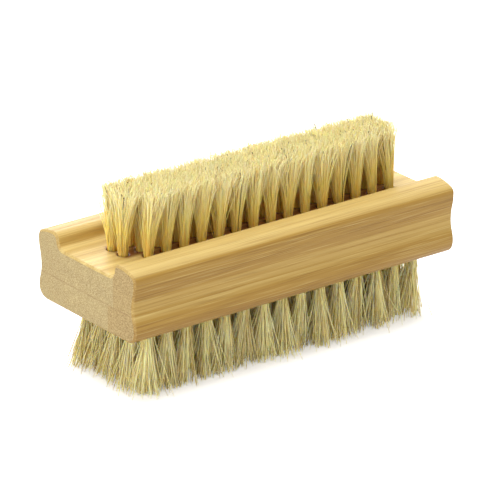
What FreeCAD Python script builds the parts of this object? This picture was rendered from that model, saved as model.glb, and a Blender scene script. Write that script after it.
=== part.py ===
# Double-sided nail brush: a block glued up from bamboo strips, moulded with a finger waist along
# both flanks and a channel along the top, and set with bristle tufts on both faces. Each tuft is
# folded round a flat wire anchor that is driven to the bottom of its own blind hole.
# Millimetres. +X runs along the block and +Z is up. The origin lies under the middle of the block,
# on the surface that the tips of the lower bristles stand on.
import FreeCAD, Part
import math
import os

# Block
BLOCK_LENGTH = 95.0
BLOCK_WIDTH = 38.9
LOWER_BOARD_THICKNESS = 7.0
UPPER_BOARD_THICKNESS = 11.2     # up to the crown of the rails
CORNER_RADIUS = 3.2              # along the two bottom edges
WAIST_HEIGHT = 8.5               # narrowest part of the flank, above the bottom face
WAIST_DEPTH = 0.95               # how far the waist is drawn in on each side
SHOULDER_RADIUS = 1.9            # outer edge of a rail
CROWN_RADIUS = 14.4              # top of a rail, from the shoulder in to its highest line
CHANNEL_WIDTH = 18.5             # flat floor between the rails
CHANNEL_DEPTH = 3.7              # floor below the crown of the rails
RAIL_SLOPE = 3.9                 # from the edge of the floor out to the crown
END_EASE = 0.5                   # bevel round the two end faces

# Strips that the boards are glued up from
RAIL_JOINT_OFFSET = 1.65         # glue joint of a rail strip, outside the channel floor

# Upper bristle field: three rows in the channel
UPPER_REACH = 15.8               # bristle length above the channel floor
UPPER_PITCH = 5.13               # from tuft to tuft along a row
UPPER_ROW_SPACING = 4.2
UPPER_MIDDLE = -0.7              # middle row, from the middle plane of the block
UPPER_FIRST = 10.2               # from the left end face to the first hole of a row
UPPER_FRONT_FIRST = 14.5         # the same for the front row, which starts one tuft later
UPPER_END_MARGIN = 7.0           # least distance from the last hole to the right end face
UPPER_HOLE_DIAMETER = 3.0
UPPER_TIP_GAP = 0.4              # between neighbouring tufts at their trimmed tips
UPPER_LEAN = 0.4                 # how far tips would lean out at the very ends of the block

# Lower bristle field: five rows on the bottom face
LOWER_REACH = 16.5               # bristle length below the bottom face
LOWER_PITCH = 5.645
LOWER_ROW_SPACING = 5.8
LOWER_MIDDLE = 0.0
LOWER_FIRST = 9.35
LOWER_END_MARGIN = 6.0
LOWER_HOLE_DIAMETER = 2.7
LOWER_TIP_GAP = 1.2
LOWER_LEAN = 1.2

# Fixing of a tuft in its hole
HOLE_FLOOR = 1.8                 # wood left between the bottom of a hole and the glue line
HOLE_SIDES = 10                  # flats that draw a drilled wall: few, as there are so many holes
TUFT_SIDES = 6                   # flats that draw a bundle of bristles
TUFT_CLEARANCE = 0.08            # bundle to the wall and the bottom of its hole
FOLD_THICKNESS = 0.9             # bristles that pass under the anchor
ANCHOR_THICKNESS = 0.4           # flat wire, standing on edge across the hole
ANCHOR_HEIGHT = 1.6
ANCHOR_CLEARANCE = 0.05          # wire to the bristles and to the wall

# Levels
BLOCK_BOTTOM = LOWER_REACH
GLUE_LINE = BLOCK_BOTTOM + LOWER_BOARD_THICKNESS
BLOCK_TOP = GLUE_LINE + UPPER_BOARD_THICKNESS
CHANNEL_FLOOR = BLOCK_TOP - CHANNEL_DEPTH

# Glue joints between strips, as distances from the middle plane of the block. The lower ones run
# midway between the two outer rows of holes.
UPPER_JOINT = CHANNEL_WIDTH / 2 + RAIL_JOINT_OFFSET
LOWER_JOINT = 1.5 * LOWER_ROW_SPACING

# How far cutting tools run past the faces that they cut
OVERCUT = 1.0


def tangent_arc(start, tangent, end):
    """Arc that leaves start along tangent and stops at end."""
    chord = end - start
    halfway = FreeCAD.Vector(tangent).normalize() + FreeCAD.Vector(chord).normalize()
    middle = start + halfway * (chord.dot(chord) / 2 / halfway.dot(chord))
    return Part.Arc(start, middle, end).toShape()


def s_bend(start, tangent, end):
    """Two arcs that leave start along tangent, cross over halfway and reach end along it."""
    crossing = (start + end) / 2
    return [tangent_arc(start, tangent, crossing), tangent_arc(end, -tangent, crossing)]


def flank(side):
    """Outline of one side of the block, from the bottom face out over the rail to the channel.

    It holds the rounded bottom edge, the waist, the shoulder and crown of the rail and the slope
    into the channel, each tangent to the next.
    """
    def at(y, z):
        return FreeCAD.Vector(-BLOCK_LENGTH / 2, side * y, z)

    up = FreeCAD.Vector(0, 0, 1)
    out = FreeCAD.Vector(0, side, 0)
    outer = BLOCK_WIDTH / 2
    floor_edge = CHANNEL_WIDTH / 2
    crown = floor_edge + RAIL_SLOPE

    # The shoulder arc runs inside the crown arc, and they touch in line with both centres.
    between_centres = CROWN_RADIUS - SHOULDER_RADIUS
    inset = outer - SHOULDER_RADIUS - crown
    rise = math.sqrt(between_centres ** 2 - inset ** 2)
    crown_centre = at(crown, BLOCK_TOP - CROWN_RADIUS)
    shoulder_centre = at(outer - SHOULDER_RADIUS, BLOCK_TOP - CROWN_RADIUS + rise)
    touch = crown_centre + (shoulder_centre - crown_centre) * (CROWN_RADIUS / between_centres)

    corner_top = at(outer, BLOCK_BOTTOM + CORNER_RADIUS)
    waist = at(outer - WAIST_DEPTH, BLOCK_BOTTOM + WAIST_HEIGHT)
    shoulder = at(outer, shoulder_centre.z)
    crown_line = at(crown, BLOCK_TOP)
    edges = [tangent_arc(at(outer - CORNER_RADIUS, BLOCK_BOTTOM), out, corner_top)]
    edges += s_bend(corner_top, up, waist)
    edges += s_bend(waist, up, shoulder)
    edges.append(tangent_arc(shoulder, up, touch))
    edges.append(tangent_arc(crown_line, out, touch))
    edges += s_bend(crown_line, -out, at(floor_edge, CHANNEL_FLOOR))
    return edges


def moulded_block():
    """The whole block before it is drilled, with its end edges bevelled."""
    def across(half_width, level):
        left = FreeCAD.Vector(-BLOCK_LENGTH / 2, -half_width, level)
        right = FreeCAD.Vector(-BLOCK_LENGTH / 2, half_width, level)
        return Part.LineSegment(left, right).toShape()

    bottom = across(BLOCK_WIDTH / 2 - CORNER_RADIUS, BLOCK_BOTTOM)
    channel = across(CHANNEL_WIDTH / 2, CHANNEL_FLOOR)
    outline = Part.sortEdges([bottom, channel] + flank(1) + flank(-1))[0]
    block = Part.Face(Part.Wire(outline)).extrude(FreeCAD.Vector(BLOCK_LENGTH, 0, 0))
    end_edges = [edge for edge in block.Edges if abs(edge.CenterOfMass.x) > BLOCK_LENGTH / 2 - END_EASE]
    return block.makeChamfer(END_EASE, end_edges)


def strip(block, y_range, z_range):
    """The part of the block that one bamboo strip makes, between its glue joints."""
    corner = FreeCAD.Vector(-BLOCK_LENGTH / 2 - OVERCUT, y_range[0], z_range[0])
    length = BLOCK_LENGTH + 2 * OVERCUT
    return block.common(Part.makeBox(length, y_range[1] - y_range[0], z_range[1] - z_range[0], corner))


def polygon(sides, radius, x, y, z):
    """Corners of a level regular polygon about (x, y), the first on its +X side."""
    angles = [2 * math.pi * index / sides for index in range(sides)]
    return [FreeCAD.Vector(x + radius * math.cos(a), y + radius * math.sin(a), z) for a in angles]


def flat_face(corners):
    """Face inside a closed line of corners."""
    return Part.Face(Part.makePolygon(corners + corners[:1]))


def bundle(rings):
    """Solid with flat sides through a stack of polygons that have as many corners each."""
    faces = [flat_face(rings[0]), flat_face(rings[-1])]
    for near, far in zip(rings, rings[1:]):
        for index in range(len(near)):
            faces.append(flat_face([near[index - 1], near[index], far[index], far[index - 1]]))
    return Part.Solid(Part.Shell(faces))


class BristleField:
    """Rows of tufts on one face of the block, with the holes and anchors that hold them."""

    def __init__(
        self, face, outward, depth, reach, pitch, row_spacing, middle, end_margin,
        hole_diameter, tip_gap, lean
    ):
        self.face = face
        self.outward = outward
        self.depth = depth
        self.reach = reach
        self.pitch = pitch
        self.row_spacing = row_spacing
        self.middle = middle
        self.end_margin = end_margin
        self.spread = 1 + lean / (BLOCK_LENGTH / 2)
        self.hole_radius = hole_diameter / 2
        self.half_flat = self.hole_radius * math.cos(math.pi / HOLE_SIDES)
        self.root_radius = self.half_flat - TUFT_CLEARANCE
        # The bundles fan out until they nearly meet, along the row or across the rows.
        across_rows = row_spacing / math.cos(math.pi / TUFT_SIDES)
        self.tip_radius = (min(pitch, across_rows) - tip_gap) / 2
        # The tuft stands on the bottom of its hole, and the anchor on the fold of the tuft.
        self.root_depth = depth - TUFT_CLEARANCE
        self.anchor_depth = self.root_depth - FOLD_THICKNESS - ANCHOR_CLEARANCE

    def row(self, number, first):
        """Centres of the holes of a row, numbered from the middle row: as many as the block holds."""
        count = int((BLOCK_LENGTH - first - self.end_margin) / self.pitch) + 1
        start = first - BLOCK_LENGTH / 2
        y = self.middle + number * self.row_spacing
        return [(start + self.pitch * index, y) for index in range(count)]

    def level(self, depth):
        """Height of a point this deep in the face; a negative depth stands out of it."""
        return self.face - self.outward * depth

    def across(self, x, y, thickness, length, deep, shallow):
        """Upright plate across the hole at (x, y), between two depths."""
        low = min(self.level(deep), self.level(shallow))
        corner = FreeCAD.Vector(x - thickness / 2, y - length / 2, low)
        return Part.makeBox(thickness, length, deep - shallow, corner)

    def hole(self, x, y):
        """Cutting tool of one blind hole."""
        mouth = flat_face(polygon(HOLE_SIDES, self.hole_radius, x, y, self.level(-OVERCUT)))
        return mouth.extrude(FreeCAD.Vector(0, 0, -self.outward * (self.depth + OVERCUT)))

    def tuft(self, x, y):
        """Bundle that stands straight in its hole and fans out to its trimmed tips."""
        root = polygon(TUFT_SIDES, self.root_radius, x, y, self.level(self.root_depth))
        mouth = polygon(TUFT_SIDES, self.root_radius, x, y, self.face)
        trim = self.level(-self.reach)
        tips = polygon(TUFT_SIDES, self.tip_radius, x * self.spread, y * self.spread, trim)
        window = self.across(
            x, y,
            ANCHOR_THICKNESS + 2 * ANCHOR_CLEARANCE,
            2 * (self.hole_radius + OVERCUT),
            self.anchor_depth + ANCHOR_CLEARANCE,
            self.anchor_depth - ANCHOR_HEIGHT - ANCHOR_CLEARANCE,
        )
        return bundle([root, mouth, tips]).cut(window)

    def anchor(self, x, y):
        """Piece of flat wire inside the fold of a tuft, from wall to wall of its hole."""
        length = 2 * (self.half_flat - ANCHOR_CLEARANCE)
        top_depth = self.anchor_depth - ANCHOR_HEIGHT
        return self.across(x, y, ANCHOR_THICKNESS, length, self.anchor_depth, top_depth)


def export(name, solids):
    """Write one node, as a single solid or a group of separate ones."""
    Part.makeCompound(solids).exportStep(f"parts/{name}.step")


os.makedirs("parts", exist_ok=True)

upper_field = BristleField(
    CHANNEL_FLOOR, 1, CHANNEL_FLOOR - GLUE_LINE - HOLE_FLOOR, UPPER_REACH,
    UPPER_PITCH, UPPER_ROW_SPACING, UPPER_MIDDLE, UPPER_END_MARGIN,
    UPPER_HOLE_DIAMETER, UPPER_TIP_GAP, UPPER_LEAN,
)
lower_field = BristleField(
    BLOCK_BOTTOM, -1, LOWER_BOARD_THICKNESS - HOLE_FLOOR, LOWER_REACH,
    LOWER_PITCH, LOWER_ROW_SPACING, LOWER_MIDDLE, LOWER_END_MARGIN,
    LOWER_HOLE_DIAMETER, LOWER_TIP_GAP, LOWER_LEAN,
)
upper_rows = {
    "upper_front": upper_field.row(-1, UPPER_FRONT_FIRST),
    "upper_middle": upper_field.row(0, UPPER_FIRST),
    "upper_back": upper_field.row(1, UPPER_FIRST),
}
lower_rows = {
    "lower_front": lower_field.row(-2, LOWER_FIRST),
    "lower_inner_front": lower_field.row(-1, LOWER_FIRST),
    "lower_middle": lower_field.row(0, LOWER_FIRST),
    "lower_inner_back": lower_field.row(1, LOWER_FIRST),
    "lower_back": lower_field.row(2, LOWER_FIRST),
}

# Tufts and anchors: one node of each for every row
for field, rows in ((upper_field, upper_rows), (lower_field, lower_rows)):
    for name, places in rows.items():
        export(f"{name}_tufts", [field.tuft(x, y) for x, y in places])
        export(f"{name}_anchors", [field.anchor(x, y) for x, y in places])

# Strips: the glued block is moulded, cut at its glue joints and drilled
block = moulded_block()
side = BLOCK_WIDTH / 2 + OVERCUT
upper_board = (GLUE_LINE, BLOCK_TOP + OVERCUT)
lower_board = (BLOCK_BOTTOM - OVERCUT, GLUE_LINE)
upper_holes = [upper_field.hole(x, y) for places in upper_rows.values() for x, y in places]
front_holes = [lower_field.hole(x, y) for x, y in lower_rows["lower_front"]]
back_holes = [lower_field.hole(x, y) for x, y in lower_rows["lower_back"]]
inner_rows = [lower_rows[name] for name in ("lower_inner_front", "lower_middle", "lower_inner_back")]
inner_holes = [lower_field.hole(x, y) for places in inner_rows for x, y in places]

export("upper_front_rail", [strip(block, (-side, -UPPER_JOINT), upper_board)])
export("upper_center_strip", [strip(block, (-UPPER_JOINT, UPPER_JOINT), upper_board).cut(upper_holes)])
export("upper_back_rail", [strip(block, (UPPER_JOINT, side), upper_board)])
export("lower_front_strip", [strip(block, (-side, -LOWER_JOINT), lower_board).cut(front_holes)])
export("lower_center_strip", [strip(block, (-LOWER_JOINT, LOWER_JOINT), lower_board).cut(inner_holes)])
export("lower_back_strip", [strip(block, (LOWER_JOINT, side), lower_board).cut(back_holes)])
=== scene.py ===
# %% [markdown]
# # A two-sided nail brush in bamboo and natural bristle
#
# The brush is a block glued up from six strips of bamboo. Three rows of short tufts stand in a
# channel along the top, and five rows of longer, looser tufts hang from the bottom face. The solid
# model already holds the strips with their drilled holes and the wire anchors, so this lesson
# dresses those, and grows real bristles where the solid model only has plain bundles.

# %% Load the solid model as a fixed frame
import bpy
import math
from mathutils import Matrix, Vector


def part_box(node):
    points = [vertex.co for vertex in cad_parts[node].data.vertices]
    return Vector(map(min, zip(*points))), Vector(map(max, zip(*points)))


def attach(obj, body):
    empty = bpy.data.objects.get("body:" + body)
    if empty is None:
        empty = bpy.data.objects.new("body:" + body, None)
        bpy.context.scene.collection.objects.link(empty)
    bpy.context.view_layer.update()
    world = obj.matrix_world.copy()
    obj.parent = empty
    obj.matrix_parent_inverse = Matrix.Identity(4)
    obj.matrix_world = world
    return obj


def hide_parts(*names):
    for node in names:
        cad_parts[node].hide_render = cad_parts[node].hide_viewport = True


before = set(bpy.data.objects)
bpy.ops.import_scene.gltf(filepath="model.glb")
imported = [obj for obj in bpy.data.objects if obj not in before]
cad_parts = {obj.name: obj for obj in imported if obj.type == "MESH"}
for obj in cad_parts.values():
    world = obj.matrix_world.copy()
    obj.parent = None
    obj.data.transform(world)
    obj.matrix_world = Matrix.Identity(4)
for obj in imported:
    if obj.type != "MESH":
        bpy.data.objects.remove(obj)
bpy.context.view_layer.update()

# %% [markdown]
# ## Camera
#
# The brush is seen from a little above, turned so that one end and one long side show. A long lens
# far away keeps its edges nearly parallel, as product pictures do, so the camera stands over a
# metre off and is aimed at a point near the middle of the block. Its place could be typed in, but
# two angles and a distance say better where it stands.

# %% Camera
VIEW_AZIMUTH = math.radians(-37.2)
VIEW_ELEVATION = math.radians(22.11)
VIEW_DISTANCE = 1.1932
PICTURE_MIDDLE = Vector((0.00162, 0.00152, 0.02189))
LENS_MM = 360.0
SENSOR_MM = 36.0
FARTHEST_SEEN = 20.0

level_reach = math.cos(VIEW_ELEVATION)
towards_camera = Vector((
    math.sin(VIEW_AZIMUTH) * level_reach,
    -math.cos(VIEW_AZIMUTH) * level_reach,
    math.sin(VIEW_ELEVATION),
))
camera = bpy.data.objects.new("camera", bpy.data.cameras.new("camera"))
camera.data.sensor_fit = "HORIZONTAL"
camera.data.sensor_width = SENSOR_MM
camera.data.lens = LENS_MM
camera.data.clip_end = FARTHEST_SEEN
camera.location = PICTURE_MIDDLE + towards_camera * VIEW_DISTANCE
camera.rotation_euler = towards_camera.to_track_quat("Z", "Y").to_euler()
bpy.context.scene.collection.objects.link(camera)
bpy.context.scene.camera = camera
bpy.context.scene.view_settings.view_transform = "Standard"
print("camera at", [round(value, 3) for value in camera.location])

# %% [markdown]
# ## Helpers for node trees
#
# Materials and bristles are both made of nodes here. Clicking nodes together in the editor can't
# be repeated, so one small function adds a node, sets its options and fills its inputs, either
# with plain values or with the outputs of other nodes. Sums are the most common nodes of all, and
# get a function each for numbers and for vectors.


# %% Node helpers
def feed(tree, node, inputs):
    """Fill a node's inputs with plain values or with the outputs of other nodes."""
    for socket, value in inputs.items():
        if isinstance(value, bpy.types.NodeSocket):
            tree.links.new(value, node.inputs[socket])
        else:
            node.inputs[socket].default_value = value


def place(tree, kind, inputs=None, **options):
    """Add a node with these options and inputs."""
    node = tree.nodes.new(kind)
    for option, value in options.items():
        setattr(node, option, value)
    feed(tree, node, inputs or {})
    return node


def maths(tree, operation, *values):
    """Number that comes out of one sum."""
    return place(tree, "ShaderNodeMath", dict(enumerate(values)), operation=operation).outputs[0]


def vector_maths(tree, operation, *values):
    """Vector that comes out of one sum."""
    sockets = dict(enumerate(values))
    return place(tree, "ShaderNodeVectorMath", sockets, operation=operation).outputs[0]


print("node helpers:", [helper.__name__ for helper in (feed, place, maths, vector_maths)])

# %% [markdown]
# ## Floor and sky
#
# The brush stands on a sweep of white paper under an even white sky. White paper in plain light
# still renders pale grey, and more light would bleach the brush as well. So the floor and the sky
# tell rays apart. Rays from the camera, a mirror or glass meet a white floor with a slight cool
# glow, and a white sky. The light that falls on the brush comes from a greyer floor, which lights
# the flanks from below, and from a dimmer sky. The shadow under the brush stays.


# %% Studio helpers
def seen_directly(tree):
    """1 for rays from the camera, a mirror or glass, and 0 for the light that falls on things."""
    path = place(tree, "ShaderNodeLightPath").outputs
    straight = maths(tree, "MAXIMUM", path["Is Camera Ray"], path["Is Glossy Ray"])
    return maths(tree, "MAXIMUM", straight, path["Is Transmission Ray"])


def new_finish(name):
    """New material, with its node tree and its shader."""
    finish = bpy.data.materials.new(name)
    finish.use_nodes = True
    return finish, finish.node_tree, finish.node_tree.nodes["Principled BSDF"]


print("studio helpers:", [helper.__name__ for helper in (seen_directly, new_finish)])

# %% Floor
FLOOR_SIZE = 6.0
FLOOR_WHITE = 0.80
FLOOR_SEEN = 1.0
FLOOR_GLOW = 0.33
FLOOR_GLOW_TINT = (0.92, 0.97, 1.0, 1.0)
FLOOR_ROUGHNESS = 0.9

floor_finish, tree, paint = new_finish("studio_floor")
direct = seen_directly(tree)
feed(tree, paint, {
    "Base Color": maths(tree, "MULTIPLY_ADD", direct, FLOOR_SEEN - FLOOR_WHITE, FLOOR_WHITE),
    "Roughness": FLOOR_ROUGHNESS,
    "Emission Color": FLOOR_GLOW_TINT,
    "Emission Strength": maths(tree, "MULTIPLY", direct, FLOOR_GLOW),
})

half = FLOOR_SIZE / 2
corners = [(-half, -half, 0), (half, -half, 0), (half, half, 0), (-half, half, 0)]
floor_mesh = bpy.data.meshes.new("studio_floor")
floor_mesh.from_pydata(corners, [], [(0, 1, 2, 3)])
floor_mesh.materials.append(floor_finish)
floor = bpy.data.objects.new("studio_floor", floor_mesh)
bpy.context.scene.collection.objects.link(floor)
print("floor:", FLOOR_SIZE, "m square")

# %% Sky
SKY_STRENGTH = 0.66
SKY_SEEN = 1.0
WHITE = (1.0, 1.0, 1.0, 1.0)

world = bpy.data.worlds.new("studio_sky")
world.use_nodes = True
tree = world.node_tree
direct = seen_directly(tree)
feed(tree, tree.nodes["Background"], {
    "Color": WHITE,
    "Strength": maths(tree, "MULTIPLY_ADD", direct, SKY_SEEN - SKY_STRENGTH, SKY_STRENGTH),
})
bpy.context.scene.world = world
print("sky: strength", SKY_STRENGTH, "on the brush and", SKY_SEEN, "where it is seen")

# %% [markdown]
# ## Lamps
#
# Soft light comes from big lamps. One hangs overhead and one stands behind the brush, where its
# light comes through the pale bristles, and two weaker ones lift the near end and the front. One
# small lamp would be simpler, but it would draw a hard shadow beside every tuft. Between pale
# bristles light goes to and fro many times before it comes out, so it may bounce more often here.

# %% Lamps
# For each lamp: its place and the side of its square, in metres, and its power in watts
LAMPS = {
    "lamp_overhead": ((0.0, 0.1, 1.0), 0.7, 8.5),
    "lamp_behind": ((0.35, 0.9, 0.55), 0.7, 7.5),
    "lamp_end": ((-0.9, -0.1, 0.18), 0.5, 4.5),
    "lamp_front": ((-0.35, -0.95, 0.24), 0.6, 2.5),
}
BOUNCES = 32


def soft_lamp(name, stand, side, watts):
    """Square lamp that faces the middle of the brush."""
    lamp = bpy.data.objects.new(name, bpy.data.lights.new(name, "AREA"))
    lamp.data.size = side
    lamp.data.energy = watts
    lamp.location = stand
    lamp.rotation_euler = (lamp.location - PICTURE_MIDDLE).to_track_quat("Z", "Y").to_euler()
    bpy.context.scene.collection.objects.link(lamp)


for name, settings in LAMPS.items():
    soft_lamp(name, *settings)
bpy.context.scene.cycles.max_bounces = BOUNCES
bpy.context.scene.cycles.diffuse_bounces = BOUNCES
print("lamps:", list(LAMPS))

# %% [markdown]
# ## Bamboo
#
# Bamboo has no rings. It is a pale ground full of darker fibre bundles that all run along the
# strip, so a long face shows fine streaks and an end face shows a fine speckle of the same
# bundles cut across. A picture of wood could be wrapped round the strips, but then the streaks and
# the speckle would not belong together. A solid pattern that is drawn out along X gives both from
# one set of nodes, and each strip moves it a little, so that no strip matches its neighbour. Six
# strips use it, so it is one node group, with an input for whatever differs between them.

# %% Shader helpers
RISING = (0.0, 1.0)
FALLING = (1.0, 0.0)


def ramp(tree, factor, stops):
    """Colour that runs through these stops as the factor goes from 0 to 1."""
    node = place(tree, "ShaderNodeValToRGB", {"Fac": factor})
    elements = node.color_ramp.elements
    while len(elements) < len(stops):
        elements.new(0.5)
    for element, (position, colour) in zip(elements, stops):
        element.position = position
        element.color = colour
    return node.outputs["Color"]


def between(tree, value, span, onto=RISING):
    """Carry a value from one span onto another, with a smooth start and end."""
    limits = {"From Min": span[0], "From Max": span[1], "To Min": onto[0], "To Max": onto[1]}
    limits["Value"] = value
    return place(tree, "ShaderNodeMapRange", limits, interpolation_type="SMOOTHSTEP").outputs[0]


def blend_colours(tree, factor, first, second, blend_type="MIX"):
    """Mix of two colours, which this node takes in sockets 6 and 7 and gives in output 2."""
    sockets = {0: factor, 6: first, 7: second}
    return place(tree, "ShaderNodeMix", sockets, data_type="RGBA", blend_type=blend_type).outputs[2]


def noise(tree, vector, per_metre, detail):
    """Cloudy pattern with about this many clouds to the metre."""
    sockets = {"Vector": vector, "Scale": per_metre, "Detail": detail}
    return place(tree, "ShaderNodeTexNoise", sockets).outputs[0]


print("shader helpers:", [helper.__name__ for helper in (ramp, between, blend_colours, noise)])

# %% Sockets of the bamboo group
grain = bpy.data.node_groups.new("bamboo_grain", "ShaderNodeTree")
for name in ("Strip", "Joint", "Glue Level", "Dense Level", "Dense Depth"):
    grain.interface.new_socket(name, in_out="INPUT", socket_type="NodeSocketFloat")
grain.interface.new_socket("End Tint", in_out="INPUT", socket_type="NodeSocketColor")
grain.interface.new_socket("Color", in_out="OUTPUT", socket_type="NodeSocketColor")
for name in ("Roughness", "Height", "Seam"):
    grain.interface.new_socket(name, in_out="OUTPUT", socket_type="NodeSocketFloat")
print("bamboo group sockets:", [item.name for item in grain.interface.items_tree])

# %% Patterns inside the stem
# Along X the patterns count a metre as a small part of one, which draws them out.
STRIP_SHIFT = (0.31, 0.17, 0.23)
FIBRE_STRETCH = (0.016, 1.0, 1.0)
BAND_STRETCH = (0.008, 1.0, 1.0)
BANDS_PER_METRE = 480.0
FIBRES_PER_METRE = 2900.0
HAIRLINES_PER_METRE = 3900.0
BUNDLES_PER_METRE = 1700.0

of_strip = place(grain, "NodeGroupInput").outputs
spot = place(grain, "ShaderNodeTexCoord").outputs["Object"]
cut_from = place(grain, "ShaderNodeCombineXYZ", {axis: of_strip["Strip"] for axis in "XYZ"})
in_stem = vector_maths(grain, "MULTIPLY_ADD", cut_from.outputs[0], STRIP_SHIFT, spot)
drawn_out = vector_maths(grain, "MULTIPLY", in_stem, FIBRE_STRETCH)
straight = vector_maths(grain, "MULTIPLY", in_stem, BAND_STRETCH)

bands = noise(grain, straight, BANDS_PER_METRE, detail=4.0)
fibres = noise(grain, drawn_out, FIBRES_PER_METRE, detail=2.0)
hairlines = noise(grain, drawn_out, HAIRLINES_PER_METRE, detail=1.0)
bundles = place(grain, "ShaderNodeTexVoronoi", {"Vector": straight, "Scale": BUNDLES_PER_METRE})
print("patterns inside the stem:", len(grain.nodes), "nodes so far")

# %% [markdown]
# ### Long faces
#
# The outside of the stem is where the bundles crowd, so each strip has one dense and dark side. The
# faces turned up are painted paler, as painted light from above. One ramp of colours would give the
# broad bands, but not the short dark dashes and the pale hairlines that lie over them, so these are
# blended on one after the other.

# %% Streaks along the strips
BAMBOO_DARK = (0.215, 0.103, 0.011, 1.0)
BAMBOO_MIDDLE = (0.352, 0.202, 0.033, 1.0)
BAMBOO_PALE = (0.72, 0.56, 0.21, 1.0)
BAMBOO_BUNDLE = (0.17, 0.08, 0.015, 1.0)
GROUND_STOPS = [(0.08, BAMBOO_DARK), (0.46, BAMBOO_MIDDLE), (0.98, BAMBOO_PALE)]
DENSE_FADE = (0.2, 1.2)
TOP_FACING = (0.35, 0.85)
BAND_CONTRAST = 0.68
BAND_START = 0.16
# Painted light: how much paler the faces turned up are made.
TOP_PAINTED_LIGHT = 0.20
DENSE_DROP = -0.12
DASH_SPAN = (0.50, 0.68)
DASH_SHARE = 0.24
DENSE_DASH_SHARE = 0.26
HAIRLINE_SPAN = (0.54, 0.76)
HAIRLINE_SHARE = 0.26

strip_spot = place(grain, "ShaderNodeSeparateXYZ", {0: spot}).outputs
off_dense = maths(grain, "SUBTRACT", strip_spot["Z"], of_strip["Dense Level"])
far_from_dense = maths(grain, "DIVIDE", maths(grain, "ABSOLUTE", off_dense), of_strip["Dense Depth"])
dense = between(grain, far_from_dense, DENSE_FADE, FALLING)
true_normal = place(grain, "ShaderNodeNewGeometry").outputs["True Normal"]
facing = place(grain, "ShaderNodeSeparateXYZ", {0: true_normal}).outputs
on_top = between(grain, facing["Z"], TOP_FACING)
calm_bands = maths(grain, "MULTIPLY_ADD", bands, BAND_CONTRAST, BAND_START)
# Painted light: the tops are made paler.
top_lit_tone = maths(grain, "MULTIPLY_ADD", on_top, TOP_PAINTED_LIGHT, calm_bands)
tone = maths(grain, "MULTIPLY_ADD", dense, DENSE_DROP, top_lit_tone)
ground = ramp(grain, tone, GROUND_STOPS)

dash = between(grain, fibres, DASH_SPAN)
dashes_here = maths(grain, "MULTIPLY_ADD", dense, DENSE_DASH_SHARE, DASH_SHARE)
dashed = blend_colours(grain, maths(grain, "MULTIPLY", dash, dashes_here), ground, BAMBOO_BUNDLE)
bright = between(grain, hairlines, HAIRLINE_SPAN, (0.0, HAIRLINE_SHARE))
streaked = blend_colours(grain, bright, dashed, BAMBOO_PALE)
print("streaks:", len(grain.nodes), "nodes so far")

# %% [markdown]
# ### Sawn ends
#
# A saw leaves the ends duller and greyer than the sanded faces, with the bundles cut across as
# specks. The ends could have a material of their own, but the strips are one mesh each, and the
# direction of a face already tells an end from a flank.

# %% Speckle on the ends
BAMBOO_END_DARK = (0.272, 0.207, 0.094, 1.0)
BAMBOO_END_PALE = (0.452, 0.361, 0.180, 1.0)
END_FACING = (0.6, 0.9)
END_GRAIN_SPAN = (0.34, 0.66)
END_SHARE = 0.85
SPECK_RIM = (0.12, 0.42)
SPECK_SHARE = 0.24
DENSE_SPECK_SHARE = 0.25

on_end = between(grain, maths(grain, "ABSOLUTE", facing["X"]), END_FACING)
grains = between(grain, hairlines, END_GRAIN_SPAN)
sawn = blend_colours(grain, grains, BAMBOO_END_DARK, BAMBOO_END_PALE)
end_grain = blend_colours(grain, 1.0, sawn, of_strip["End Tint"], "MULTIPLY")
cut_across = blend_colours(grain, maths(grain, "MULTIPLY", on_end, END_SHARE), streaked, end_grain)
speck = between(grain, bundles.outputs["Distance"], SPECK_RIM, FALLING)
specks_here = maths(grain, "MULTIPLY_ADD", dense, DENSE_SPECK_SHARE, SPECK_SHARE)
speck_share = maths(grain, "MULTIPLY", maths(grain, "MULTIPLY", speck, specks_here), on_end)
speckled = blend_colours(grain, speck_share, cut_across, BAMBOO_BUNDLE)
print("speckle:", len(grain.nodes), "nodes so far")

# %% [markdown]
# ### Glue
#
# Glue shows as a patchy dark line where the two boards meet, most of all on the ends, and hardly at
# all between the strips of a board. Thin strips of mesh could lie there, but the line has no
# thickness, so the distance of a point to the joints colours the wood itself.

# %% Glue lines
GLUE_BROWN = (0.20, 0.11, 0.04, 1.0)
PATCHES_PER_METRE = 260.0
PATCH_SPAN = (0.35, 0.65)
PATCH_SHARE = (0.3, 1.0)
LEVEL_LINE = (0.00005, 0.00032)
LEVEL_SHARE = 0.05
LEVEL_SHARE_ON_END = 0.42
JOINT_LINE = (0.00003, 0.0002)
JOINT_SHARE = 0.05
JOINT_SHARE_ON_END = 0.10
BESIDE_GLUE = (0.0006, 0.0009)

above_glue = maths(grain, "SUBTRACT", strip_spot["Z"], of_strip["Glue Level"])
from_level = maths(grain, "ABSOLUTE", above_glue)
half_width = maths(grain, "ABSOLUTE", strip_spot["Y"])
from_joint = maths(grain, "ABSOLUTE", maths(grain, "SUBTRACT", half_width, of_strip["Joint"]))
patches = noise(grain, in_stem, PATCHES_PER_METRE, detail=1.0)
patchy = between(grain, patches, PATCH_SPAN, PATCH_SHARE)
level_strength = maths(grain, "MULTIPLY_ADD", on_end, LEVEL_SHARE_ON_END, LEVEL_SHARE)
level_share = maths(grain, "MULTIPLY", patchy, level_strength)
level_line = maths(grain, "MULTIPLY", between(grain, from_level, LEVEL_LINE, FALLING), level_share)
joint_share = maths(grain, "MULTIPLY_ADD", on_end, JOINT_SHARE_ON_END, JOINT_SHARE)
joint_line = maths(grain, "MULTIPLY", between(grain, from_joint, JOINT_LINE, FALLING), joint_share)
glued = blend_colours(grain, maths(grain, "MAXIMUM", level_line, joint_line), speckled, GLUE_BROWN)
beside_glue = between(grain, maths(grain, "MINIMUM", from_level, from_joint), BESIDE_GLUE, FALLING)
print("glue lines:", len(grain.nodes), "nodes so far")

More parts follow.
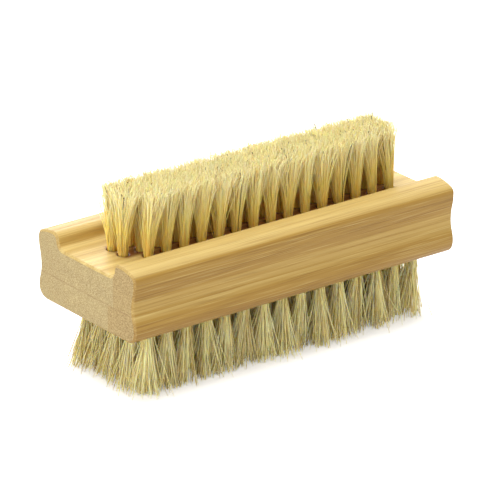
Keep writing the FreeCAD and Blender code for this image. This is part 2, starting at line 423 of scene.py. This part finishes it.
# %% [markdown]
# ### What the group gives
#
# Wood is more than a colour. Sawn ends are rougher than sanded faces, the dark dashes lie a little
# lower than the ground, and the shading has to know where the glue is. Each of these could be a
# group of its own, but they follow the same streaks, so one group gives them all.

# %% Outputs of the bamboo group
ROUGHNESS_SPAN = (0.3, 0.7)
SANDED_ROUGHNESS = (0.44, 0.56)
SAWN_ROUGHER = 0.2
DASH_DEPTH = 0.8

sanded_roughness = between(grain, fibres, ROUGHNESS_SPAN, SANDED_ROUGHNESS)
place(grain, "NodeGroupOutput", {
    "Color": glued,
    "Roughness": maths(grain, "MULTIPLY_ADD", on_end, SAWN_ROUGHER, sanded_roughness),
    "Height": maths(grain, "SUBTRACT", hairlines, maths(grain, "MULTIPLY", dash, DASH_DEPTH)),
    "Seam": beside_glue,
})
print("bamboo group:", len(grain.nodes), "nodes")

# %% [markdown]
# ### Painted shade round the holes
#
# The wood is painted dark round every hole, and all the way between the holes of a row. This is painted
# shade, where the tufts keep the light off the wood, and the wood in the ring is made a little smoother.
# Painting that would need a picture. The holes
# stand in even rows, so a few sums on the place of a point give its distance to the nearest hole.
# A step between two holes counts for less than one aside, and a step past the last hole for more.

# %% Distance to the nearest hole
WIRE_THICKNESS = 0.0004
UPPER_PITCH = 0.00513
LOWER_PITCH = 0.005645
ALONG_ROW = 0.42
PAST_ROW = 1.8


def row_of_holes(name):
    """First and last hole along X, the row's place along Y and the hole's radius, from the anchors."""
    low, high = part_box(f"{name}_anchors")
    first, last = low[0] + WIRE_THICKNESS / 2, high[0] - WIRE_THICKNESS / 2
    return first, last, (low[1] + high[1]) / 2, (high[1] - low[1]) / 2


def from_row(tree, spot, name):
    """Distance from the nearest rim of a row, seen along Z."""
    first, last, middle, radius = row_of_holes(name)
    pitch = UPPER_PITCH if name.startswith("upper") else LOWER_PITCH
    from_first = maths(tree, "SUBTRACT", spot["X"], first)
    in_row = maths(tree, "MINIMUM", maths(tree, "MAXIMUM", from_first, 0.0), last - first)
    past_end = maths(tree, "ABSOLUTE", maths(tree, "SUBTRACT", from_first, in_row))
    stepped_past = maths(tree, "MULTIPLY", past_end, PAST_ROW)
    between_holes = maths(tree, "PINGPONG", in_row, pitch / 2)
    to_hole = maths(tree, "MULTIPLY_ADD", between_holes, ALONG_ROW, stepped_past)
    aside = maths(tree, "SUBTRACT", spot["Y"], middle)
    level = place(tree, "ShaderNodeCombineXYZ", {"X": to_hole, "Y": aside}).outputs[0]
    distance = place(tree, "ShaderNodeVectorMath", {0: level}, operation="LENGTH").outputs["Value"]
    return maths(tree, "SUBTRACT", distance, radius)


print("upper front row of holes:", row_of_holes("upper_front"))

# %% Painted shade round the holes
# Painted shade: a dark brown ring round every hole and along each row, for the shade at the foot of the
# tufts.
PAINTED_SHADE_WIDTH = 0.0016
PAINTED_SHADE_SHARE = 0.90
PAINTED_SHADE_BROWN = (0.170, 0.040, 0.002, 1.0)
RING_ROUGHNESS = 0.28


def painted_shade(tree, colour, roughness, rows):
    """Colour with a ring of painted shade round the holes of these rows, and smoother wood in the ring.
    """
    place_on_strip = place(tree, "ShaderNodeTexCoord").outputs["Object"]
    spot = place(tree, "ShaderNodeSeparateXYZ", {0: place_on_strip}).outputs
    nearest = from_row(tree, spot, rows[0])
    for name in rows[1:]:
        nearest = maths(tree, "MINIMUM", nearest, from_row(tree, spot, name))
    # Painted shade: full at the rim of a hole, gone a little way out.
    share = between(tree, nearest, (0.0, PAINTED_SHADE_WIDTH), (PAINTED_SHADE_SHARE, 0.0))
    smoother = maths(tree, "SUBTRACT", RING_ROUGHNESS, roughness)
    ring_smoothed = maths(tree, "MULTIPLY_ADD", share, smoother, roughness)
    return blend_colours(tree, share, colour, PAINTED_SHADE_BROWN), ring_smoothed


print("scorched rings:", round(PAINTED_SHADE_WIDTH * 1000, 2), "mm wide")

# %% [markdown]
# ### Six strips
#
# Each strip gets a material of its own from the group, with its joint, its dense side and its holes.
# Sanding eases the outer edges of the block, but not the glued ones, which were closed before the
# sanding. Rounded edges could be cut into the mesh, but the solid model's meshes stay as they are,
# so a bevel of the shading does it, and is held back beside the glue.

# %% Sizes of the six strips
GLUE_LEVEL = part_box("lower_center_strip")[1][2]
UPPER_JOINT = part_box("upper_center_strip")[1][1]
LOWER_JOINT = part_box("lower_center_strip")[1][1]
WARM_END = (0.92, 0.85, 0.77, 1.0)
UPPER_ROWS = ("upper_front", "upper_middle", "upper_back")
INNER_ROWS = ("lower_inner_front", "lower_middle", "lower_inner_back")
# For each strip: its glue joint, the height and depth of its dense side, in metres, the tint of its
# sawn end, and the rows of holes in it
STRIPS = {
    "upper_front_rail": (UPPER_JOINT, 0.0302, 0.0045, WARM_END, ()),
    "upper_center_strip": (UPPER_JOINT, 0.0260, 0.0025, WHITE, UPPER_ROWS),
    "upper_back_rail": (UPPER_JOINT, 0.0270, 0.0060, WHITE, ()),
    "lower_front_strip": (LOWER_JOINT, 0.0192, 0.0048, WARM_END, ("lower_front",)),
    "lower_center_strip": (LOWER_JOINT, 0.0172, 0.0030, WHITE, INNER_ROWS),
    "lower_back_strip": (LOWER_JOINT, 0.0200, 0.0060, WHITE, ("lower_back",)),
}
print("glue line at", round(GLUE_LEVEL * 1000, 2), "mm")

# %% Bamboo on the six strips
EASED_EDGE = 0.0006
BEVEL_SAMPLES = 6
GRAIN_RELIEF = 0.35
GRAIN_DEPTH = 0.00012
WOOD_SHINE = 0.35


def bamboo(name, number, joint, dense_level, dense_depth, end_tint, rows):
    """Bamboo for one strip."""
    finish, tree, shader = new_finish(name)
    wood = place(tree, "ShaderNodeGroup", {
        "Strip": number, "Joint": joint, "Glue Level": GLUE_LEVEL, "Dense Level": dense_level,
        "Dense Depth": dense_depth, "End Tint": end_tint,
    }, node_tree=grain).outputs
    colour, roughness = wood["Color"], wood["Roughness"]
    if rows:
        colour, roughness = painted_shade(tree, colour, roughness, rows)
    eased = place(tree, "ShaderNodeBevel", {"Radius": EASED_EDGE}, samples=BEVEL_SAMPLES).outputs[0]
    as_made = place(tree, "ShaderNodeNewGeometry").outputs["Normal"]
    # For vectors, the mix node has sockets 4 and 5 and output 1.
    sanded = place(tree, "ShaderNodeMix", {0: wood["Seam"], 4: eased, 5: as_made}, data_type="VECTOR")
    bump = place(tree, "ShaderNodeBump", {
        "Strength": GRAIN_RELIEF, "Distance": GRAIN_DEPTH, "Height": wood["Height"],
        "Normal": sanded.outputs[1],
    })
    feed(tree, shader, {
        "Base Color": colour, "Roughness": roughness, "Normal": bump.outputs[0],
        "Specular IOR Level": WOOD_SHINE,
    })
    return finish


def refinish(node_name, finish):
    """Put a finish on a node of the solid model."""
    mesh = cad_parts[node_name].data
    mesh.materials.clear()
    mesh.materials.append(finish)


for number, (name, sizes) in enumerate(STRIPS.items(), start=1):
    refinish(name, bamboo(f"bamboo_{name}", number, *sizes))
print("bamboo on", len(STRIPS), "strips")

# %% [markdown]
# ## Wire anchors
#
# Each tuft is folded round a short piece of flat brass wire at the bottom of its hole. Almost
# nothing of it shows, and a plain yellow would do, but it is a real part, so it gets drawn brass,
# with fine scratches along the wire from a pattern that is drawn out along Y.

# %% Brass wire
BRASS_STOPS = [(0.35, (0.50, 0.33, 0.12, 1.0)), (0.65, (0.78, 0.57, 0.26, 1.0))]
SCRATCH_STRETCH = (1.0, 0.05, 1.0)
SCRATCHES_PER_METRE = 9000.0
BRASS_ROUGHNESS = (0.28, 0.45)

brass, tree, shader = new_finish("drawn_brass_wire")
spot = place(tree, "ShaderNodeTexCoord").outputs["Object"]
along_wire = vector_maths(tree, "MULTIPLY", spot, SCRATCH_STRETCH)
scratches = noise(tree, along_wire, SCRATCHES_PER_METRE, detail=2.0)
feed(tree, shader, {
    "Base Color": ramp(tree, scratches, BRASS_STOPS),
    "Roughness": between(tree, scratches, ROUGHNESS_SPAN, BRASS_ROUGHNESS),
    "Metallic": 1.0,
})
anchor_nodes = [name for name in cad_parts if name.endswith("_anchors")]
for name in anchor_nodes:
    refinish(name, brass)
print("brass on", len(anchor_nodes), "rows of anchors")

# %% [markdown]
# ## Bristle colour
#
# Natural bristle is a straw-coloured horn. The upper rows are golden and nearly cream at the tip, and
# browner near the root, which is painted shade at the foot of the tufts. The lower rows are a paler lot
# with more greyish ones in it, and are painted darker towards the tip, as painted shade near the floor.
# No two bristles are quite alike, and now and then one is black. One colour for all would turn the tufts
# into felt, so the bristle mesh carries two numbers: `along`, from root to tip, and `shade`, the lot
# that each bristle drew. Horn lets light in a little way, which the shader's subsurface gives.

# %% Colours along a bristle, and of the lots
BLACK = (0.06, 0.04, 0.03, 1.0)
# Painted shade: the upper bristles are browner towards the root, for the shade at the foot of the tufts.
UPPER_STRAW_SHADED_ROOTS = [
    (0.0, (0.93, 0.55, 0.11, 1.0)),
    (0.45, (0.997, 0.765, 0.235, 1.0)),
    (1.0, (0.997, 0.90, 0.53, 1.0)),
]
# Painted shade: the lower bristles are darker towards the tip, for the shade near the floor.
LOWER_STRAW_SHADED_TIPS = [
    (0.0, (0.97, 0.77, 0.29, 1.0)),
    (0.5, (0.99, 0.88, 0.47, 1.0)),
    (1.0, (0.92, 0.79, 0.39, 1.0)),
]
UPPER_LOTS = [
    (0.0, (0.74, 0.66, 0.50, 1.0)),
    (0.30, (0.99, 0.97, 0.93, 1.0)),
    (0.9955, WHITE),
    (0.9965, BLACK),
]
LOWER_LOTS = [
    (0.0, (0.37, 0.31, 0.20, 1.0)),
    (0.50, (0.97, 0.95, 0.90, 1.0)),
    (0.997, WHITE),
    (0.999, BLACK),
]
print("colour stops:", len(UPPER_STRAW_SHADED_ROOTS), "along a bristle and", len(UPPER_LOTS), "lots")

# %% Bristle finish
BRISTLE_ROUGHNESS = (0.38, 0.52)
BRISTLE_SHINE = 0.2
HORN_SHARE = 1.0
HORN_RADIUS = (1.0, 0.8, 0.4)
HORN_DEPTH = 0.00015


def bristle_finish(name, along_stops, lot_stops):
    """Horn that takes its colour from the bristle's own numbers."""
    finish, tree, shader = new_finish(name)
    along = place(tree, "ShaderNodeAttribute", attribute_name="along").outputs["Fac"]
    shade = place(tree, "ShaderNodeAttribute", attribute_name="shade").outputs["Fac"]
    # Colour along a bristle, with the painted shade of its row.
    straw = ramp(tree, along, along_stops)
    lot = ramp(tree, shade, lot_stops)
    feed(tree, shader, {
        "Base Color": blend_colours(tree, 1.0, straw, lot, "MULTIPLY"),
        "Roughness": between(tree, shade, RISING, BRISTLE_ROUGHNESS),
        "Specular IOR Level": BRISTLE_SHINE,
        "Subsurface Weight": HORN_SHARE,
        "Subsurface Radius": HORN_RADIUS,
        "Subsurface Scale": HORN_DEPTH,
    })
    return finish


upper_bristle = bristle_finish("upper_bristle", UPPER_STRAW_SHADED_ROOTS, UPPER_LOTS)
lower_bristle = bristle_finish("lower_bristle", LOWER_STRAW_SHADED_TIPS, LOWER_LOTS)
print("bristle finishes:", upper_bristle.name, lower_bristle.name)

# %% [markdown]
# ## Bristles
#
# A tuft is a handful of bristles that leaves its hole as a tight round bundle and opens like a
# sheaf. Hair particles would do for a picture, but they are no mesh, and copies of one modelled
# tuft would all look alike. Geometry Nodes can lay every bristle by rule instead: a row of points
# is numbered, the number says which tuft and which bristle a point belongs to and how far along
# it lies, and chance, from a fixed seed, gives each bristle its own lean, bow and length.

# %% Inputs of the row tree
ROW_INPUTS = {
    "Tufts": "NodeSocketInt",
    "Bristles": "NodeSocketInt",
    "First Hole": "NodeSocketVector",
    "Pitch": "NodeSocketFloat",
    "Outward": "NodeSocketFloat",
    "Reach": "NodeSocketFloat",
    "Sunk": "NodeSocketFloat",
    "Root Radius": "NodeSocketFloat",
    "Tip Radius": "NodeSocketFloat",
    "Spread": "NodeSocketFloat",
    "Opening": "NodeSocketFloat",
    "Set": "NodeSocketVector",
    "Gather": "NodeSocketFloat",
    "Tuft Lean": "NodeSocketFloat",
    "Lock Lean": "NodeSocketFloat",
    "Scatter": "NodeSocketFloat",
    "Stray Share": "NodeSocketFloat",
    "Stray Lean": "NodeSocketFloat",
    "Loose Share": "NodeSocketFloat",
    "Loose Lean": "NodeSocketFloat",
    "Bow": "NodeSocketFloat",
    "Curl": "NodeSocketFloat",
    "Ragged": "NodeSocketFloat",
    "Untrimmed": "NodeSocketFloat",
    "Thickness": "NodeSocketFloat",
    "Seed": "NodeSocketInt",
    "Finish": "NodeSocketMaterial",
}

row_tree = bpy.data.node_groups.new("bristle_row", "GeometryNodeTree")
row_socket = {}
for name, kind in ROW_INPUTS.items():
    socket = row_tree.interface.new_socket(name, in_out="INPUT", socket_type=kind)
    row_socket[name] = socket.identifier
row_tree.interface.new_socket("Geometry", in_out="OUTPUT", socket_type="NodeSocketGeometry")
of_row = place(row_tree, "NodeGroupInput").outputs
print("bristle row tree:", len(row_socket), "inputs")

# %% Chance in the row tree
# A lane for each thing that chance decides. A pair takes its lane and the next one.
LANES = {
    "tuft turn": 1, "is stray": 2, "is loose": 3, "tuft lean": 11, "lock lean": 21, "scatter": 31,
    "stray lean": 41, "bow": 51, "short": 61, "missed": 62, "shade": 71, "curl": 81, "loose lean": 91,
}


def reckon(operation, *values):
    """Number that comes out of one sum in the row tree."""
    return maths(row_tree, operation, *values)


def chance(number, lane, low=0.0, high=1.0):
    """Random number between low and high, the same for all that share a number and a lane."""
    # Sockets 2 and 3 take the limits, 7 the number and 8 the seed, and output 1 gives the result.
    sockets = {2: low, 3: high, 7: number, 8: reckon("ADD", of_row["Seed"], lane)}
    return place(row_tree, "FunctionNodeRandomValue", sockets, data_type="FLOAT").outputs[1]


def level_vector(x, y=0.0):
    """Vector that lies level."""
    return place(row_tree, "ShaderNodeCombineXYZ", {"X": x, "Y": y}).outputs[0]


def level_pair(number, lane):
    """Random level vector in a square that goes from -1 to 1 both ways."""
    return level_vector(chance(number, lane, -1.0, 1.0), chance(number, lane + 1, -1.0, 1.0))


print("chance decides", len(LANES), "things")

# %% [markdown]
# ### Where a point belongs
#
# All the points of a row come in one long queue. Whole-number division cuts it into bristles, and
# the bristles into tufts, and what is left over says how far along its bristle a point lies. Half
# a bristle is added before the second division, so that rounding can't lose the first of a tuft.
# Points crowd towards the tip, where a bristle bends most.

# %% Number the points
STEPS = 6
TIP_CROWDING = 1.6
HALF_A_BRISTLE = 0.5

index = place(row_tree, "GeometryNodeInputIndex").outputs[0]
strand = reckon("FLOOR", reckon("DIVIDE", index, STEPS))
step = reckon("SUBTRACT", index, reckon("MULTIPLY", strand, STEPS))
left_to_go = reckon("SUBTRACT", 1.0, reckon("DIVIDE", step, STEPS - 1))
way = reckon("SUBTRACT", 1.0, reckon("POWER", left_to_go, TIP_CROWDING))
in_queue = reckon("ADD", strand, HALF_A_BRISTLE)
tuft = reckon("FLOOR", reckon("DIVIDE", in_queue, of_row["Bristles"]))
bristle = reckon("SUBTRACT", strand, reckon("MULTIPLY", tuft, of_row["Bristles"]))
print("numbered points:", len(row_tree.nodes), "nodes so far")

# %% [markdown]
# ### Roots
#
# In its hole a tuft is packed evenly. Chance would leave gaps and heaps, so the bristles lie as
# seeds do in a sunflower: each one turns on by the golden angle and lies a little further out.

# %% Roots in the holes
GOLDEN_TURN = math.pi * (3.0 - math.sqrt(5.0))


def scaled(vector, factor):
    """Vector made longer or shorter."""
    sockets = {"Vector": vector, "Scale": factor}
    return place(row_tree, "ShaderNodeVectorMath", sockets, operation="SCALE").outputs[0]


def summed(*vectors):
    """All these vectors end to end."""
    total = vectors[0]
    for vector in vectors[1:]:
        total = vector_maths(row_tree, "ADD", total, vector)
    return total


def on_disc(out, turn):
    """Level vector of this length in this direction."""
    x = reckon("MULTIPLY", out, reckon("COSINE", turn))
    y = reckon("MULTIPLY", out, reckon("SINE", turn))
    return level_vector(x, y)


filled = reckon("DIVIDE", reckon("ADD", bristle, HALF_A_BRISTLE), of_row["Bristles"])
tuft_turn = chance(tuft, LANES["tuft turn"], 0.0, math.tau)
bristle_turn = reckon("MULTIPLY_ADD", bristle, GOLDEN_TURN, tuft_turn)
disc = on_disc(reckon("SQRT", filled), bristle_turn)
along_row = level_vector(reckon("MULTIPLY", tuft, of_row["Pitch"]))
hole = summed(of_row["First Hole"], along_row)
root = summed(hole, scaled(disc, of_row["Root Radius"]))
print("roots:", len(row_tree.nodes), "nodes so far")

# %% [markdown]
# ### Tips
#
# Neighbours cling together in locks, and every thirteenth bristle of the spiral is a neighbour. The
# tips of a lock gather near one point, some way out in the direction where most of its roots are.
# A tip could be placed by one big throw of chance, but then locks and tufts would blur. So each
# tuft leans a little, each lock in it leans, each bristle scatters, a share of them strays, and a
# few hang loose. Worn rows also have a common set to one side.

# %% Tips of the bristles
LOCKS = 13
LOCK_OUT = 0.72
LOCK_LAG = -1.3
LEVEL_PART = (1.0, 1.0, 0.0)

lock_in_tuft = reckon("FLOORED_MODULO", bristle, LOCKS)
lock = reckon("MULTIPLY_ADD", tuft, LOCKS, lock_in_tuft)
first_turn = reckon("ADD", tuft_turn, LOCK_LAG)
lock_turn = reckon("MULTIPLY_ADD", lock_in_tuft, GOLDEN_TURN, first_turn)
apart = vector_maths(row_tree, "SUBTRACT", on_disc(LOCK_OUT, lock_turn), disc)
gathered = summed(disc, scaled(apart, of_row["Gather"]))

is_stray = reckon("LESS_THAN", chance(strand, LANES["is stray"]), of_row["Stray Share"])
is_loose = reckon("LESS_THAN", chance(strand, LANES["is loose"]), of_row["Loose Share"])
from_middle = vector_maths(row_tree, "MULTIPLY", hole, LEVEL_PART)
tip = summed(
    hole,
    scaled(from_middle, reckon("SUBTRACT", of_row["Spread"], 1.0)),
    scaled(gathered, of_row["Tip Radius"]),
    of_row["Set"],
    scaled(level_pair(tuft, LANES["tuft lean"]), of_row["Tuft Lean"]),
    scaled(level_pair(lock, LANES["lock lean"]), of_row["Lock Lean"]),
    scaled(level_pair(strand, LANES["scatter"]), of_row["Scatter"]),
    scaled(level_pair(strand, LANES["stray lean"]), reckon("MULTIPLY", is_stray, of_row["Stray Lean"])),
    scaled(level_pair(strand, LANES["loose lean"]), reckon("MULTIPLY", is_loose, of_row["Loose Lean"])),
)
print("tips:", len(row_tree.nodes), "nodes so far")

# %% [markdown]
# ### From root to tip
#
# A straight line from root to tip would look like wire. A bristle leaves the hole upright and leans
# more and more, bows on the way, and curls at its tip. Shears trim the row to one level, but many
# bristles end a little short of it, and a few are missed and stay long.

# %% The way of a bristle
CURL_LATE = 8.0
SHORT_RARE = 4.0
MISSED_RARE = 5.0

leaning = reckon("POWER", way, of_row["Opening"])
near_root = scaled(root, reckon("SUBTRACT", 1.0, leaning))
straight_way = summed(near_root, scaled(tip, leaning))
half_wave = reckon("SINE", reckon("MULTIPLY", way, math.pi))
belly = reckon("MULTIPLY", way, half_wave)
bowed = scaled(scaled(level_pair(strand, LANES["bow"]), of_row["Bow"]), belly)
late = reckon("POWER", way, CURL_LATE)
curled = scaled(level_pair(strand, LANES["curl"]), reckon("MULTIPLY", of_row["Curl"], late))

short = reckon("POWER", chance(strand, LANES["short"]), SHORT_RARE)
cut_short = reckon("MULTIPLY", short, of_row["Ragged"])
missed = reckon("POWER", chance(strand, LANES["missed"]), MISSED_RARE)
left_long = reckon("MULTIPLY", missed, of_row["Untrimmed"])
trimmed = reckon("SUBTRACT", left_long, cut_short)
rise = reckon("ADD", reckon("ADD", of_row["Reach"], of_row["Sunk"]), trimmed)
height = reckon("SUBTRACT", reckon("MULTIPLY", way, rise), of_row["Sunk"])
outward = reckon("MULTIPLY", height, of_row["Outward"])
upright = place(row_tree, "ShaderNodeCombineXYZ", {"Z": outward}).outputs[0]
position = summed(straight_way, bowed, curled, upright)
print("way of a bristle:", len(row_tree.nodes), "nodes so far")

# %% [markdown]
# ### Tubes
#
# The points become curves, and the curves become tubes. A bristle is thinner than a pixel, so a tube
# of three sides with smooth shading is round enough and keeps the mesh small. It tapers to the tip,
# and the bristles of the last lots, the black ones among them, are the stoutest.

# %% Points into tubes
BLACK_FROM = 0.996
EXTRA_STOUT = 0.8
RADIUS_AT_ROOT = 0.5
TAPER = -0.14
RING_SIDES = 3


def keep_value(geometry, name, value):
    """Geometry that carries this value under a name."""
    sockets = {"Geometry": geometry, "Name": name, "Value": value}
    return place(row_tree, "GeometryNodeStoreNamedAttribute", sockets).outputs[0]


def kept_value(name):
    """Value that was kept under this name."""
    sockets = {"Name": name}
    return place(row_tree, "GeometryNodeInputNamedAttribute", sockets, data_type="FLOAT").outputs[0]


strands = reckon("MULTIPLY", of_row["Tufts"], of_row["Bristles"])
queue = {"Count": reckon("MULTIPLY", strands, STEPS), "Position": position}
points = place(row_tree, "GeometryNodePoints", queue).outputs[0]
points = keep_value(points, "along", way)
points = keep_value(points, "shade", chance(strand, LANES["shade"]))
grouped = {"Points": points, "Curve Group ID": strand}
curves = place(row_tree, "GeometryNodePointsToCurves", grouped).outputs[0]
taper = reckon("MULTIPLY_ADD", kept_value("along"), TAPER, RADIUS_AT_ROOT)
is_black = reckon("GREATER_THAN", kept_value("shade"), BLACK_FROM)
stoutness = reckon("MULTIPLY_ADD", is_black, EXTRA_STOUT, 1.0)
girth = reckon("MULTIPLY", of_row["Thickness"], reckon("MULTIPLY", taper, stoutness))
one_ring = {"Resolution": RING_SIDES, "Radius": 1.0}
ring = place(row_tree, "GeometryNodeCurvePrimitiveCircle", one_ring).outputs[0]
tubes = place(row_tree, "GeometryNodeCurveToMesh", {
    "Curve": curves, "Profile Curve": ring, "Scale": girth, "Fill Caps": True,
})
smooth = place(row_tree, "GeometryNodeSetShadeSmooth", {"Geometry": tubes.outputs[0]}).outputs[0]
print("tubes:", len(row_tree.nodes), "nodes so far")

# %% [markdown]
# ### Map for baking
#
# A baked colour needs a map of the surface. Unwrapping so many bristles would take long and give each
# a scrap of the picture. Bristles of one shade look the same, so the map puts every bristle in the
# column of its shade, with its root low and its tip high, and its three sides a little apart.

# %% Map, and the end of the tree
MAP_START = 0.01
MAP_WIDTH = 0.96
MAP_HEIGHT = 0.97
MAP_APART = 0.006
MIDDLE_SIDE = 1.0
CLOSE_ENOUGH = 0.1

numbered = keep_value(smooth, "side", reckon("FLOORED_MODULO", index, RING_SIDES))
column = reckon("MULTIPLY_ADD", kept_value("shade"), MAP_WIDTH, MAP_START)
upwards = reckon("MULTIPLY_ADD", kept_value("along"), MAP_HEIGHT, MAP_START)
is_middle = reckon("COMPARE", kept_value("side"), MIDDLE_SIDE, CLOSE_ENOUGH)
map_place = level_vector(
    reckon("MULTIPLY_ADD", kept_value("side"), MAP_APART, column),
    reckon("ADD", upwards, reckon("MULTIPLY", is_middle, MAP_APART)),
)
mapped = place(row_tree, "GeometryNodeStoreNamedAttribute", {
    "Geometry": numbered, "Name": "OFBake",
}, data_type="FLOAT2", domain="CORNER")
map_socket = [item for item in mapped.inputs if item.name == "Value" and item.enabled][0]
row_tree.links.new(map_place, map_socket)
cleaned = place(row_tree, "GeometryNodeRemoveAttribute", {"Geometry": mapped.outputs[0], "Name": "side"})
real = place(row_tree, "GeometryNodeRealizeInstances", {"Geometry": cleaned.outputs[0]})
coat = {"Geometry": real.outputs[0], "Material": of_row["Finish"]}
coated = place(row_tree, "GeometryNodeSetMaterial", coat)
place(row_tree, "NodeGroupOutput", {"Geometry": coated.outputs[0]})
print("bristle row tree:", len(row_tree.nodes), "nodes")

# %% [markdown]
# ## The eight rows
#
# The rows stand where the holes are. The three upper rows are short and dense and are trimmed to
# one level, with a few left long and a few hanging loose. The five lower rows are longer and
# slacker, gather in locks, and lean a little to the near end. Each row could be a tree of its own,
# but the same tree with other sizes makes them all.

# %% Sizes of the rows
# For each size: the upper rows and the lower rows. Lengths are in metres.
ROW_SIZES = {
    "Bristles": (385, 225),  # in one tuft
    "Pitch": (UPPER_PITCH, LOWER_PITCH),  # from hole to hole
    "Outward": (1.0, -1.0),  # up or down
    "Reach": (0.0158, 0.0165),  # from the face of the block to the trimmed level
    "Sunk": (0.0012, 0.0012),  # how deep in the hole the roots start
    "Root Radius": (0.00104, 0.00100),  # of the bundle in the hole
    "Tip Radius": (0.0024, 0.0027),  # of the open sheaf
    "Spread": (0.958, 1.0),  # of the tips against the holes, below 1 where rows lean inwards
    "Opening": (1.6, 1.35),  # how late a tuft opens, 1 for evenly from the root
    "Set": ((0.0, 0.0, 0.0), (-0.0013, 0.0, 0.0)),  # common lean of all tips
    "Gather": (0.0, 0.6),  # how far the tips of a lock draw together, up to 1
    "Tuft Lean": (0.0005, 0.0009),  # of a whole tuft, at the tips
    "Lock Lean": (0.0009, 0.0019),  # of one lock
    "Scatter": (0.0010, 0.0009),  # of each tip
    "Stray Share": (0.08, 0.20),  # of bristles that lean further
    "Stray Lean": (0.0026, 0.0034),  # how much further
    "Loose Share": (0.004, 0.0),  # of bristles that hang out of the tuft
    "Loose Lean": (0.006, 0.0),  # how far they hang out
    "Bow": (0.0005, 0.0007),  # belly of a bristle on its way
    "Curl": (0.0012, 0.0003),  # bend at the very tip
    "Ragged": (0.0016, 0.004),  # how short the shortest bristle ends
    "Untrimmed": (0.0010, 0.0),  # how long the longest one stays
    "Thickness": (0.00017, 0.00019),  # of a bristle at its root
}
UPPER_ROW = {label: upper for label, (upper, lower) in ROW_SIZES.items()}
LOWER_ROW = {label: lower for label, (upper, lower) in ROW_SIZES.items()}
LOWER_ROWS = ("lower_front", *INNER_ROWS, "lower_back")
ROWS = {name: (UPPER_ROW, upper_bristle) for name in UPPER_ROWS}
ROWS.update({name: (LOWER_ROW, lower_bristle) for name in LOWER_ROWS})
print("rows:", list(ROWS))


# %% Grow a row
def hole_places(name, sizes):
    """First hole of a row on its face of the block, and the number of holes."""
    first, last, middle, _ = row_of_holes(name)
    low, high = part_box(f"{name}_tufts")
    face = high[2] - sizes["Reach"] if sizes["Outward"] > 0 else low[2] + sizes["Reach"]
    return Vector((first, middle, face)), round((last - first) / sizes["Pitch"]) + 1


def grow_row(name, sizes, finish, seed):
    """Run the row tree on an empty mesh and keep what it makes as a plain mesh."""
    seedbed = bpy.data.objects.new(f"{name}_seedbed", bpy.data.meshes.new(f"{name}_seedbed"))
    bpy.context.scene.collection.objects.link(seedbed)
    grower = seedbed.modifiers.new("bristles", "NODES")
    grower.node_group = row_tree
    first_hole, count = hole_places(name, sizes)
    places = {"First Hole": first_hole, "Tufts": count, "Seed": seed, "Finish": finish}
    for label, value in {**sizes, **places}.items():
        grower[row_socket[label]] = value
    evaluated = seedbed.evaluated_get(bpy.context.evaluated_depsgraph_get())
    mesh = bpy.data.meshes.new_from_object(evaluated)
    mesh.name = f"{name}_bristles"
    bpy.data.objects.remove(seedbed)
    row = bpy.data.objects.new(f"{name}_bristles", mesh)
    bpy.context.scene.collection.objects.link(row)
    return row


print("tufts in a row:", {name: hole_places(name, sizes)[1] for name, (sizes, finish) in ROWS.items()})

# %% Grow the eight rows
# Seeds stand far apart, so that no two rows share a lane of chance.
SEED_STEP = 1000

for number, (name, (sizes, finish)) in enumerate(ROWS.items(), start=1):
    row = grow_row(name, sizes, finish, number * SEED_STEP)
    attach(row, "root")
    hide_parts(f"{name}_tufts")
    print(row.name, "triangles", sum(len(face.vertices) - 2 for face in row.data.polygons))
